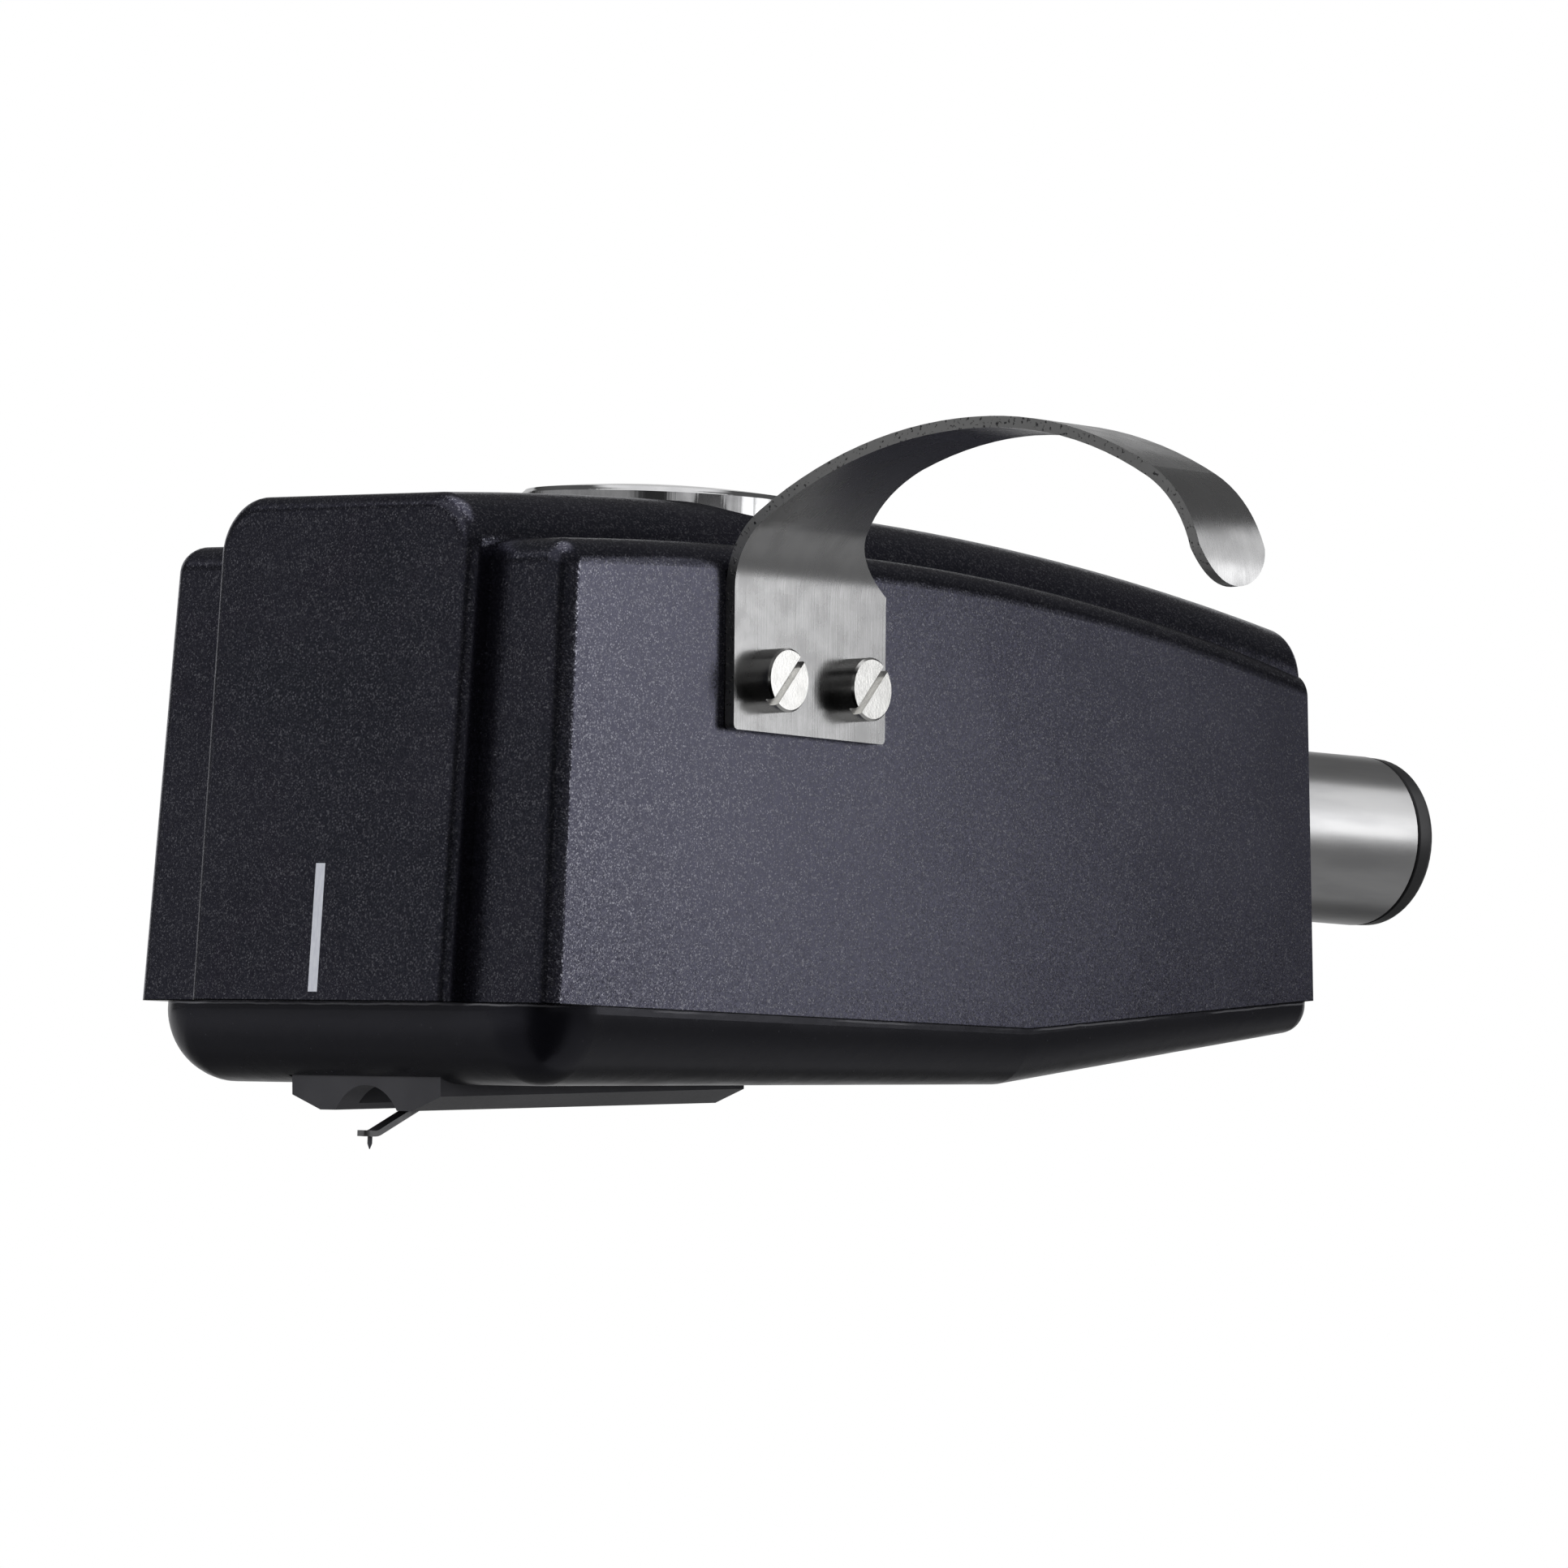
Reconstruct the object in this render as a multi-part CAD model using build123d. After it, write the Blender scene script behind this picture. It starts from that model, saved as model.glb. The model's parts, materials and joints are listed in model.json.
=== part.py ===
import os
from math import radians, tan

from build123d import *

# all sizes in millimetres and degrees, X runs rearward along the connector, Z is up

# connector at the rear
tube_radius = 4.0
tube_wall = 0.7
tube_end = 10.4
tube_root_gap = 1.0
tube_neck_step = 0.02
tube_neck_gap = 0.3
tube_end_chamfer = 0.25
press_clearance = 0.01
locating_pin_radius = 0.9
locating_pin_place = 3.7
locating_pin_stand_out = 1.3
insulator_flange_inset = 0.02
insulator_flange_length = 1.01
insulator_flange_lean = 0.03
insulator_flange_round = 0.35
contact_radius = 0.6
contact_offset = 1.35
contact_tail = 2.5
contact_stand_out = 0.8

# stylus
stylus_to_seat = 52.0
stylus_drop = 1.69
stylus_length = 0.55
stylus_radius = 0.11
stylus_cone = 0.24
stylus_tip_radius = 0.02

# shell outside
nose_lead = 3.8
front_lean = 1.75
shoulder_setback = 1.4
shoulder_half_front = 13.5
shoulder_half_rear = 7.55
front_side_draft = 1.5
rear_side_draft = 4.6
nose_half = 8.3
spine_half_rear = 5.75
crown_back = 22.8
crown_height = 12.2
nose_top_drop = 0.9
rear_top_drop = 2.95
ledge_crown_back = 23.8
ledge_drop = 2.1
ledge_front_drop = 0.8
ledge_rear_drop = 2.95
parting_depth = 11.0
parting_kink_back = 34.8
parting_kink_rise = 0.58
parting_rear_rise = 2.36
spine_top_round = 2.6
nose_edge_round = 0.75
shoulder_corner_round = 0.95
shoulder_top_round = 1.2
rear_edge_round = 0.35

# cue line, a shallow groove in the nose that is filled with paint
cue_line_width = 0.6
cue_line_length = 5.65
cue_line_rise = 0.4
cue_line_depth = 0.12

# shell inside
shell_wall = 1.6
nose_wall = 2.35
rear_wall = 7.0
cavity_drop = 2.0
boss_radius = 2.1
boss_back = 12.7
generator_screw_radius = 1.0
generator_screw_head_radius = 1.8
generator_screw_head_height = 1.2
generator_screw_clearance = 0.1

# bright disc on the crown
disc_back = 19.8
disc_radius = 6.35
disc_recess_depth = 0.95
disc_rim_length = 1.48
disc_dome_rise = 0.41
disc_edge_chamfer = 0.22
disc_fit_gap = 0.04

# lower cover
cover_inset = 0.06
cover_front_depth = 3.6
cover_kink_depth = 2.52
cover_rear_depth = 1.4
cover_corner_share = 0.9
cover_front_round = 3.1
cover_rear_round = 0.9
cover_rear_gap = 0.35
cover_wall = 1.2
cover_window_gap = 0.12

# finger lift, set out on the near shoulder panel
lift_thickness = 0.5
lift_plate_width = 10.7
lift_plate_bottom = 1.68
lift_back = 18.4
lift_seat_gap = 0.02
lift_tip_drift = 0.64
lift_tip_flare = 0.75
lift_bend_height = 7.9
lift_bend_reach = 1.83
lift_bend_top = 11.23
lift_tip_reach = 27.27
lift_tip_height = 6.7
lift_peak_share = 0.467
lift_peak_height = 14.66
lift_fall_back = 3.06
lift_fall_rise = 5.19
lift_strap_width = 3.99
lift_shoulder_height = 8.28
lift_shoulder_sweep = 0.12
lift_bend_width = 7.35
lift_neck_reach = 6.9
lift_neck_width = 4.95
lift_neck_sweep = 0.34
lift_straight_reach = 14.0
lift_corner_round = 0.25
lift_tip_round = 1.8
lift_screw_spacing = 5.9
lift_screw_height = 3.94
lift_screw_head_radius = 1.42
lift_screw_head_height = 1.2
lift_screw_shank_radius = 0.7
lift_screw_stand_in = 0.5
lift_screw_slot_width = 0.36
lift_screw_slot_depth = 0.45
lift_screw_slot_angle = 47.0
lift_screw_head_chamfer = 0.1
lift_hole_gap = 0.08

# generator block, pitched nose down and seen below the cover
block_lead = 0.3
block_drop = 4.65
block_pitch = 3.8
block_width = 9.7
block_height = 11.0
block_chamfer_width = 1.85
block_chamfer_height = 0.65
block_front_wall = 2.2
block_rear_wall = 1.4
block_side_wall = 1.15
block_floor = 1.5
notch_radius = 2.34
notch_drop = 1.22
notch_depth = 4.0
slot_start = 1.2
slot_end = 9.6
slot_width = 3.6

# magnetic circuit inside the block
pole_plate_start = 4.4
pole_plate_thickness = 1.2
pole_plate_width = 5.0
pole_plate_bottom = 2.1
magnet_bottom = 5.4
magnet_width = 6.2
yoke_start = 11.0
yoke_length = 4.2
yoke_rear_gap = 1.8
yoke_width = 6.2
yoke_bottom = 1.5
yoke_thread_depth = 2.3
core_radius = 1.1
core_start = 0.95
core_end = 6.2
core_wire_hole_radius = 0.2
core_clearance = 0.02
grub_length = 1.4
grub_slot_width = 0.3
grub_slot_depth = 0.5

# moving arm, measured along the cantilever from the pivot
arm_angle = 27.7
arm_bend_ahead = 0.14
arm_end_ahead = 0.62
arm_pivot_back = 7.4
arm_width = 0.7
arm_thickness = 0.26
arm_bend_round = 0.8
arm_tip_round = 0.3
collar_radius = 0.42
collar_end = 1.8
hub_radius = 0.66
hub_half_length = 0.35
armature_arm_radius = 0.18
armature_arm_length = 1.35
coil_radius = 0.42
coil_start = 0.72
coil_end = 1.25
coil_clearance = 0.01
ferrule_radius = 0.42
ferrule_clearance = 0.04
wire_radius = 0.07
wire_gap = 0.06
damper_radius = 1.05
damper_bore_radius = 0.48
damper_start = 0.6

# terminals and leads
terminal_side_gap = 0.05
terminal_plate_thickness = 1.35
terminal_back = 0.6
terminal_edge = 0.55
terminal_radius = 0.35
terminal_sink = 1.0
terminal_stand_out = 2.2
lead_radius = 0.3
lead_rise = 3.0
lead_ease = 0.5

# reach of cutting shapes, and how close an edge must lie to be picked
far_out = 60.0
cut_past = 1.0
pick_gap = 0.02

# places along the part that follow from the sizes above
nose_front = -stylus_to_seat - nose_lead
crown_place = nose_front + crown_back
ledge_crown_place = nose_front + ledge_crown_back
parting_kink_place = nose_front + parting_kink_back
disc_place = nose_front + disc_back
lift_place = nose_front + lift_back
block_front = -stylus_to_seat - block_lead
boss_place = block_front + boss_back

# heights that follow from them
nose_top_height = crown_height - nose_top_drop
rear_top_height = crown_height - rear_top_drop
ledge_crown_height = crown_height - ledge_drop
ledge_front_height = ledge_crown_height - ledge_front_drop
ledge_rear_height = ledge_crown_height - ledge_rear_drop
parting_front_height = -parting_depth
parting_kink_height = parting_front_height + parting_kink_rise
parting_rear_height = parting_kink_height + parting_rear_rise
disc_recess_height = crown_height - disc_recess_depth
disc_rim_height = disc_recess_height + disc_rim_length
block_bottom = parting_front_height - block_drop
stylus_tip_height = block_bottom - stylus_drop

# sizes of mating pieces that follow from them
tube_bore_radius = tube_radius - tube_wall
tube_neck_radius = tube_radius - tube_neck_step
tube_neck_end = locating_pin_place + locating_pin_radius + tube_neck_gap
tube_root = tube_root_gap - rear_wall
locating_pin_height = tube_radius + locating_pin_stand_out
insulator_flange_radius = tube_radius - insulator_flange_inset
hub_bore_radius = ferrule_radius + ferrule_clearance
wire_start = ferrule_radius + wire_gap
lift_screw_shank_length = shell_wall + lift_thickness + lift_screw_stand_in
block_length = yoke_start + yoke_length + yoke_rear_gap + block_rear_wall
block_cavity_width = block_width - 2 * block_side_wall
circuit_top = block_height - terminal_plate_thickness
terminal_row_place = block_length - block_rear_wall - terminal_back
terminal_pitch = (block_cavity_width - 2 * terminal_edge) / 3
terminal_low = block_height - terminal_sink
terminal_high = block_height + terminal_stand_out


def shoulder_half(place):
    # half width of the panels at the parting height, straight from front to rear
    front = nose_front + shoulder_setback
    share = (place - front) / (0 - front)
    return shoulder_half_front + (shoulder_half_rear - shoulder_half_front) * share


def front_place(base, height):
    # the front faces lean back as they rise
    return base + (height - parting_front_height) * tan(radians(front_lean))


def parting_height(place):
    # two straight runs that meet at the kink
    if place < parting_kink_place:
        share = (place - nose_front) / (parting_kink_place - nose_front)
        return parting_front_height + (parting_kink_height - parting_front_height) * share
    share = (place - parting_kink_place) / (0 - parting_kink_place)
    return parting_kink_height + (parting_rear_height - parting_kink_height) * share


def side_profile(base, crown, front_height, rear_height, rear, drop):
    # outline seen from the side, with two arcs that share a level tangent at the crown
    low_front = (base, parting_height(base) - drop)
    high_front = (front_place(base, front_height), front_height)
    high_rear = (rear, rear_height)
    low_rear = (rear, parting_height(rear) - drop)
    kink = (parting_kink_place, parting_kink_height - drop)
    edges = [
        Line(low_front, high_front),
        TangentArc(crown, high_front, tangent=(-1, 0)),
        TangentArc(crown, high_rear, tangent=(1, 0)),
        Line(high_rear, low_rear),
        Line(low_rear, kink),
        Line(kink, low_front),
    ]
    return extrude(Plane.XZ * make_face(edges), far_out / 2, both=True)


def plan_prism(half_front, half_rear, front_draft, rear_draft):
    # plan outline drawn past both ends, with a draft that changes evenly from front to rear
    front = nose_front + shoulder_setback
    low = parting_front_height - far_out / 10
    high = parting_front_height + far_out / 2
    faces = []
    for level in (low, high):
        rise = level - parting_front_height
        at_front = half_front - rise * tan(radians(front_draft))
        at_rear = half_rear - rise * tan(radians(rear_draft))
        slope = (at_rear - at_front) / (0 - front)
        start = front - far_out / 10
        stop = far_out / 10
        half_start = at_front + slope * (start - front)
        half_stop = at_front + slope * (stop - front)
        outline = Polyline(
            (start, -half_start), (stop, -half_stop), (stop, half_stop), (start, half_start), close=True
        )
        faces.append(Plane.XY.offset(level) * make_face(outline))
    return loft(faces, ruled=True)


def long_edges(body, low):
    # edges that run fore and aft along both sides above a given height
    found = []
    for edge in body.edges():
        middle = edge.center()
        run = edge.tangent_at(0.5)
        if middle.Z > low and abs(middle.Y) > spine_half_rear / 2 and abs(run.X) > 0.9:
            found.append(edge)
    return found


def face_edges_above(body, axis, low):
    # edges round the face furthest along an axis, without its bottom edge
    face = body.faces().sort_by(axis)[-1]
    return [edge for edge in face.edges() if edge.center().Z > low]


def spine_body():
    # tall narrow body that forms the nose and the top of the shell
    crown = (crown_place, crown_height)
    profile = side_profile(nose_front, crown, nose_top_height, rear_top_height, 0, 0)
    body = plan_prism(nose_half, spine_half_rear, 0, 0) & profile
    body = fillet(long_edges(body, 0), spine_top_round)
    body = fillet(face_edges_above(body, Axis.X, parting_rear_height + rear_edge_round), rear_edge_round)
    front = face_edges_above(body, -Axis.X, parting_front_height + nose_edge_round)
    return fillet(front, nose_edge_round)


def shoulder_body():
    # lower and wider body with the two drafted side panels
    crown = (ledge_crown_place, ledge_crown_height)
    front = nose_front + shoulder_setback
    profile = side_profile(front, crown, ledge_front_height, ledge_rear_height, 0, 0)
    body = plan_prism(shoulder_half_front, shoulder_half_rear, front_side_draft, rear_side_draft) & profile
    upright_edges = ShapeList([edge for edge in body.edges() if abs(edge.tangent_at(0.5).Z) > 0.9])
    body = fillet(upright_edges.sort_by(Axis.X)[:2], shoulder_corner_round)
    top = long_edges(body, 0)
    low = ledge_front_height - shoulder_top_round
    ahead = front + 2 * shoulder_corner_round
    top += [edge for edge in body.edges() if edge.center().Z > low and edge.center().X < ahead]
    return fillet(ShapeList(set(top)), shoulder_top_round)


def shell_cavity():
    # the same two bodies drawn one wall smaller and open at the bottom
    crown = (crown_place, crown_height - shell_wall)
    front = nose_front + nose_wall
    front_height = nose_top_height - shell_wall
    rear_height = rear_top_height - shell_wall
    profile = side_profile(front, crown, front_height, rear_height, -rear_wall, cavity_drop)
    tall = plan_prism(nose_half - shell_wall, spine_half_rear - shell_wall, 0, 0) & profile
    crown = (ledge_crown_place, ledge_crown_height - shell_wall)
    front = nose_front + shoulder_setback + shell_wall
    front_height = ledge_front_height - shell_wall
    rear_height = ledge_rear_height - shell_wall
    profile = side_profile(front, crown, front_height, rear_height, -rear_wall, cavity_drop)
    half_front = shoulder_half_front - shell_wall
    half_rear = shoulder_half_rear - shell_wall
    wide = plan_prism(half_front, half_rear, front_side_draft, rear_side_draft) & profile
    return tall + wide


def along_x(radius, start, stop):
    # round bar on the connector axis
    bar = Cylinder(radius, stop - start, align=(Align.CENTER, Align.CENTER, Align.MIN))
    return Location((start, 0, 0), (0, 90, 0)) * bar


def upright(radius, place, low, high):
    # round bar standing on end
    bar = Cylinder(radius, high - low, align=(Align.CENTER, Align.CENTER, Align.MIN))
    return Location((place, 0, low)) * bar


def block_frame():
    # front lower edge of the generator block, with its own pitch
    return Location((block_front, 0, block_bottom), (0, -block_pitch, 0))


def arm_pivot():
    # the pivot lies behind the bend in the cantilever, up the slope
    bend = -stylus_to_seat + arm_bend_ahead
    height = stylus_tip_height + stylus_length + arm_thickness / 2
    return bend + arm_pivot_back, height + arm_pivot_back * tan(radians(arm_angle))


def arm_frame():
    # origin at the pivot, X pointing rearward up the line of the cantilever
    place, height = arm_pivot()
    return Location((place, 0, height), (0, -arm_angle, 0))


def on_arm(radius, start, stop):
    # round bar on the line of the cantilever
    return arm_frame() * along_x(radius, start, stop)


def block_box(start, length, width, low, high):
    # plain box in the block's frame
    box = Box(length, width, high - low, align=(Align.MIN, Align.CENTER, Align.MIN))
    return block_frame() * (Location((start, 0, low)) * box)


def panel_point(place, height):
    # a point on the outside of the near panel
    front = nose_front + shoulder_setback
    share = (place - front) / (0 - front)
    lean = tan(radians(front_side_draft)) * (1 - share) + tan(radians(rear_side_draft)) * share
    return Vector(place, lean * (height - parting_front_height) - shoulder_half(place), height)


def panel_frame():
    # plane that lies on the near panel under the lift, X rearward, Z outward
    middle = (lift_plate_bottom + lift_bend_height) / 2
    seat = panel_point(lift_place, middle)
    run = (panel_point(lift_place + lift_plate_width / 2, middle) - seat).normalized()
    lean = panel_point(lift_place, lift_bend_height) - panel_point(lift_place, lift_plate_bottom)
    lean = lean / lean.Z
    out = run.cross(lean).normalized()
    return Plane(origin=seat - lean * middle + out * lift_seat_gap, x_dir=run, z_dir=out)


def lift_screw_places():
    half = lift_screw_spacing / 2
    return [(-half, lift_screw_height), (half, lift_screw_height)]


def panel_bar(place, radius, start, stop):
    # round bar square to the near panel
    bar = Cylinder(radius, stop - start, align=(Align.CENTER, Align.CENTER, Align.MIN))
    return panel_frame() * (Location((place[0], place[1], start)) * bar)


def cue_groove():
    # upright slot as deep as the paint, leaning with the nose face
    middle = (Align.CENTER, Align.CENTER, Align.MIN)
    slot = Box(2 * cue_line_depth, cue_line_width, cue_line_length, align=middle)
    foot = Location((nose_front, 0, parting_front_height), (0, front_lean, 0))
    return foot * (Pos(0, 0, cue_line_rise) * slot)


def make_cue_line():
    return spine_body() & cue_groove()


def make_shell():
    body = spine_body() + shoulder_body()
    body -= cue_groove()
    body -= shell_cavity()
    boss = upright(boss_radius, boss_place, block_bottom, crown_height - shell_wall)
    boss &= block_box(-far_out / 2, far_out, far_out, block_height, far_out)
    body += boss
    body -= along_x(tube_neck_radius + press_clearance, -rear_wall - cut_past, cut_past)
    body -= upright(disc_radius + disc_fit_gap, disc_place, disc_recess_height, far_out)
    hole = generator_screw_radius + generator_screw_clearance
    body -= upright(hole, boss_place, block_bottom, far_out)
    seat = disc_recess_height - generator_screw_head_height
    head = generator_screw_head_radius + generator_screw_clearance
    body -= upright(head, boss_place, seat, far_out)
    hole = lift_screw_shank_radius + press_clearance
    for place in lift_screw_places():
        body -= panel_bar(place, hole, -lift_screw_shank_length, cut_past)
    return body


def cover_section(place, depth, inset, lift):
    # one cross section of the cover, square at the top and rounded at the bottom
    half = shoulder_half(place) - inset
    top = parting_height(place) + lift
    bottom = parting_height(place) - depth
    outline = Polyline((-half, top), (half, top), (half, bottom), (-half, bottom), close=True)
    face = make_face(outline)
    face = fillet(face.vertices().sort_by(Axis.Y)[:2], depth * cover_corner_share)
    return Plane(origin=(place, 0, 0), x_dir=(0, 1, 0), z_dir=(1, 0, 0)) * face


def make_lower_cover():
    front = nose_front + shoulder_setback + cover_inset
    rear = -cover_rear_gap
    outer = loft(
        [
            cover_section(front, cover_front_depth, cover_inset, 0),
            cover_section(parting_kink_place, cover_kink_depth, cover_inset, 0),
            cover_section(rear, cover_rear_depth, cover_inset, 0),
        ],
        ruled=True,
    )
    nose = outer.faces().sort_by(Axis.X)[0]
    low = parting_height(front) - cover_inset
    outer = fillet([edge for edge in nose.edges() if edge.center().Z < low], cover_front_round)
    tail = outer.faces().sort_by(Axis.X)[-1]
    low = parting_height(rear) - cover_rear_depth / 4
    outer = fillet([edge for edge in tail.edges() if edge.center().Z < low], cover_rear_round)
    inside = cover_inset + cover_wall
    inner = loft(
        [
            cover_section(front + cover_front_round, cover_front_depth - cover_wall, inside, cut_past),
            cover_section(parting_kink_place, cover_kink_depth - cover_wall, inside, cut_past),
        ],
        ruled=True,
    )
    window = block_box(
        -cover_window_gap,
        block_length + 2 * cover_window_gap,
        block_width + 2 * cover_window_gap,
        -far_out / 10,
        block_height,
    )
    return outer - inner - window


def make_top_disc():
    # turned disc with a straight rim, a small bevel and a low dome
    flat = disc_radius - disc_edge_chamfer
    rim = disc_rim_height - disc_edge_chamfer
    edges = [
        Line((0, disc_recess_height), (disc_radius, disc_recess_height)),
        Line((disc_radius, disc_recess_height), (disc_radius, rim)),
        Line((disc_radius, rim), (flat, disc_rim_height)),
        TangentArc((0, disc_rim_height + disc_dome_rise), (flat, disc_rim_height), tangent=(1, 0)),
        Line((0, disc_rim_height + disc_dome_rise), (0, disc_recess_height)),
    ]
    return Pos(disc_place, 0, 0) * revolve(Plane.XZ * make_face(edges), Axis.Z)


def make_generator_screw():
    head_low = disc_recess_height - generator_screw_head_height
    head = upright(generator_screw_head_radius, boss_place, head_low, disc_recess_height)
    slot = Box(4 * generator_screw_head_radius, lift_screw_slot_width, 2 * lift_screw_slot_depth)
    head -= Location((boss_place, 0, disc_recess_height)) * slot
    return head + upright(generator_screw_radius, boss_place, thread_end(), head_low)


def thread_end():
    # lowest point of the generator screw, inside the yoke
    return block_bottom + circuit_top - yoke_thread_depth / 2


def lift_ribbon():
    # inner face of the strap in a plane square to the panel: a line and four tangent arcs
    start = (0, lift_bend_height)
    bend = (lift_bend_reach, lift_bend_top)
    peak = (lift_tip_reach * lift_peak_share, lift_peak_height)
    fall = (lift_tip_reach - lift_fall_back, lift_tip_height + lift_fall_rise)
    tip = (lift_tip_reach, lift_tip_height)
    plate = Line((0, lift_plate_bottom), start)
    first = TangentArc(start, bend, tangent=(0, 1))
    second = TangentArc(bend, peak, tangent=first % 1)
    third = TangentArc(peak, fall, tangent=second % 1)
    fourth = TangentArc(fall, tip, tangent=third % 1)
    return [plate, first, second, third, fourth]


def make_finger_lift():
    # a sheet along the ribbon, cut to its outline, then given its thickness square to itself
    side = Plane(origin=(0, 0, 0), x_dir=(0, 0, 1), z_dir=(-1, 0, 0))
    start = Pos(-lift_plate_width, 0, 0) * (side * Wire(lift_ribbon()))
    sheet = Shell.extrude(start, (2 * lift_plate_width, 0, 0))
    sheet = sheet & extrude(lift_outline(), far_out, both=True)
    sheet = sheet - extrude(lift_shoulder(), lift_bend_reach, both=True)
    tip_space = Pos(0, 0, lift_tip_reach - lift_fall_back)
    sheet = sheet - tip_space * extrude(lift_below_tip(), lift_fall_back + cut_past)
    body = Part() + Solid.thicken(Shell(sheet.faces()), lift_thickness)
    ends = [edge for edge in body.edges() if abs(edge.length - lift_thickness) < pick_gap]
    foot = [edge for edge in ends if edge.center().Y < lift_plate_bottom + pick_gap]
    body = fillet(foot, lift_corner_round)
    for place in lift_screw_places():
        hole = Cylinder(lift_screw_shank_radius + lift_hole_gap, 4 * lift_thickness)
        body -= Location((place[0], place[1], 0)) * hole
    return panel_frame() * body


def lift_outline():
    # seen from above: beyond the bend the strap narrows along one concave sweep and one long taper
    half = lift_plate_width / 2
    bend = lift_bend_width - half
    neck = lift_neck_width - half
    strap = lift_strap_width - half
    end = lift_tip_reach + cut_past
    stretch = (end - lift_straight_reach) / (lift_tip_reach - lift_straight_reach)
    inner_end = strap - lift_tip_drift * stretch
    outer_end = -half - (lift_tip_drift + lift_tip_flare) * stretch
    edges = [
        Line((-half, -cut_past), (half, -cut_past)),
        Line((half, -cut_past), (half, lift_bend_reach)),
        Line((half, lift_bend_reach), (bend, lift_bend_reach)),
        SagittaArc((bend, lift_bend_reach), (neck, lift_neck_reach), lift_neck_sweep),
        Line((neck, lift_neck_reach), (strap, lift_straight_reach)),
        Line((strap, lift_straight_reach), (inner_end, end)),
        Line((inner_end, end), (outer_end, end)),
        Line((outer_end, end), (-half, lift_straight_reach)),
        Line((-half, lift_straight_reach), (-half, -cut_past)),
    ]
    return Plane(origin=(0, 0, 0), x_dir=(1, 0, 0), z_dir=(0, -1, 0)) * make_face(edges)


def lift_shoulder():
    # seen square to the panel: the corner that is cut from the plate up to the end of the bend
    half = lift_plate_width / 2
    bend = lift_bend_width - half
    beside = half + cut_past
    edges = [
        SagittaArc((half, lift_shoulder_height), (bend, lift_bend_top), lift_shoulder_sweep),
        Line((bend, lift_bend_top), (beside, lift_bend_top)),
        Line((beside, lift_bend_top), (beside, lift_shoulder_height)),
        Line((beside, lift_shoulder_height), (half, lift_shoulder_height)),
    ]
    return make_face(edges)


def lift_below_tip():
    # seen square to the panel: the space below the round end of the strap
    half = lift_plate_width / 2
    inner = lift_strap_width - half - lift_tip_drift + pick_gap
    outer = -half - lift_tip_drift - lift_tip_flare - pick_gap
    spring = lift_tip_height + lift_tip_round
    low = lift_tip_height - cut_past
    edges = [
        ThreePointArc((inner, spring), ((inner + outer) / 2, lift_tip_height), (outer, spring)),
        Line((outer, spring), (outer - cut_past, spring)),
        Line((outer - cut_past, spring), (outer - cut_past, low)),
        Line((outer - cut_past, low), (inner + cut_past, low)),
        Line((inner + cut_past, low), (inner + cut_past, spring)),
        Line((inner + cut_past, spring), (inner, spring)),
    ]
    return make_face(edges)


def make_finger_lift_screws():
    low = lift_thickness
    high = lift_thickness + lift_screw_head_height
    screws = []
    for place in lift_screw_places():
        head = Cylinder(lift_screw_head_radius, high - low, align=(Align.CENTER, Align.CENTER, Align.MIN))
        head = chamfer(head.edges().group_by(Axis.Z)[-1], lift_screw_head_chamfer)
        slot = Box(4 * lift_screw_head_radius, lift_screw_slot_width, 2 * lift_screw_slot_depth)
        head -= Location((0, 0, high - low), (0, 0, lift_screw_slot_angle)) * slot
        head = panel_frame() * (Location((place[0], place[1], low)) * head)
        screws.append(head + panel_bar(place, lift_screw_shank_radius, low - lift_screw_shank_length, low))
    return Compound(children=[screw.solid() for screw in screws])


def make_connector_tube():
    # turned plug whose outside swells by a hair from the seat to behind the locating pin
    outline = Polyline(
        (tube_root, tube_bore_radius),
        (tube_root, tube_neck_radius),
        (0, tube_neck_radius),
        (tube_neck_end, tube_radius),
        (tube_end - tube_end_chamfer, tube_radius),
        (tube_end, tube_radius - tube_end_chamfer),
        (tube_end, tube_bore_radius),
        close=True,
    )
    tube = revolve(Plane.XZ * make_face(outline), Axis.X)
    return tube - upright(locating_pin_radius, locating_pin_place, 0, far_out)


def make_locating_pin():
    pin = upright(locating_pin_radius, locating_pin_place, tube_bore_radius, locating_pin_height)
    pin = fillet(pin.edges().group_by(Axis.Z)[-1], locating_pin_radius / 3)
    return pin - along_x(tube_bore_radius, tube_root, tube_end)


def contact_places():
    across = contact_offset
    return [(-across, -across), (-across, across), (across, across), (across, -across)]


def make_contact_insulator():
    # plug that fills the tube, with a rounded flange over its end
    flange_end = tube_end + insulator_flange_length
    crest = (flange_end - insulator_flange_round, insulator_flange_radius - insulator_flange_lean)
    corner = (flange_end, crest[1] - insulator_flange_round)
    side = TangentArc((tube_end, insulator_flange_radius), crest, tangent=(1, 0))
    edges = [
        Line((tube_end, 0), (tube_end, insulator_flange_radius)),
        side,
        TangentArc(crest, corner, tangent=side % 1),
        Line(corner, (flange_end, 0)),
        Line((flange_end, 0), (tube_end, 0)),
    ]
    body = revolve(Plane.XZ * make_face(edges), Axis.X)
    body += along_x(tube_bore_radius - press_clearance, tube_root, tube_end)
    for place in contact_places():
        body -= Pos(0, place[0], place[1]) * along_x(contact_radius, tube_root - cut_past, far_out)
    return body


def make_contact_pins():
    start = tube_root - contact_tail
    stop = tube_end + insulator_flange_length + contact_stand_out
    pins = []
    for place in contact_places():
        pin = along_x(contact_radius, start, stop)
        pin = fillet(pin.edges().group_by(Axis.X)[-1], contact_radius / 2)
        pins.append(Pos(0, place[0], place[1]) * pin)
    return Compound(children=[pin.solid() for pin in pins])


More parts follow.
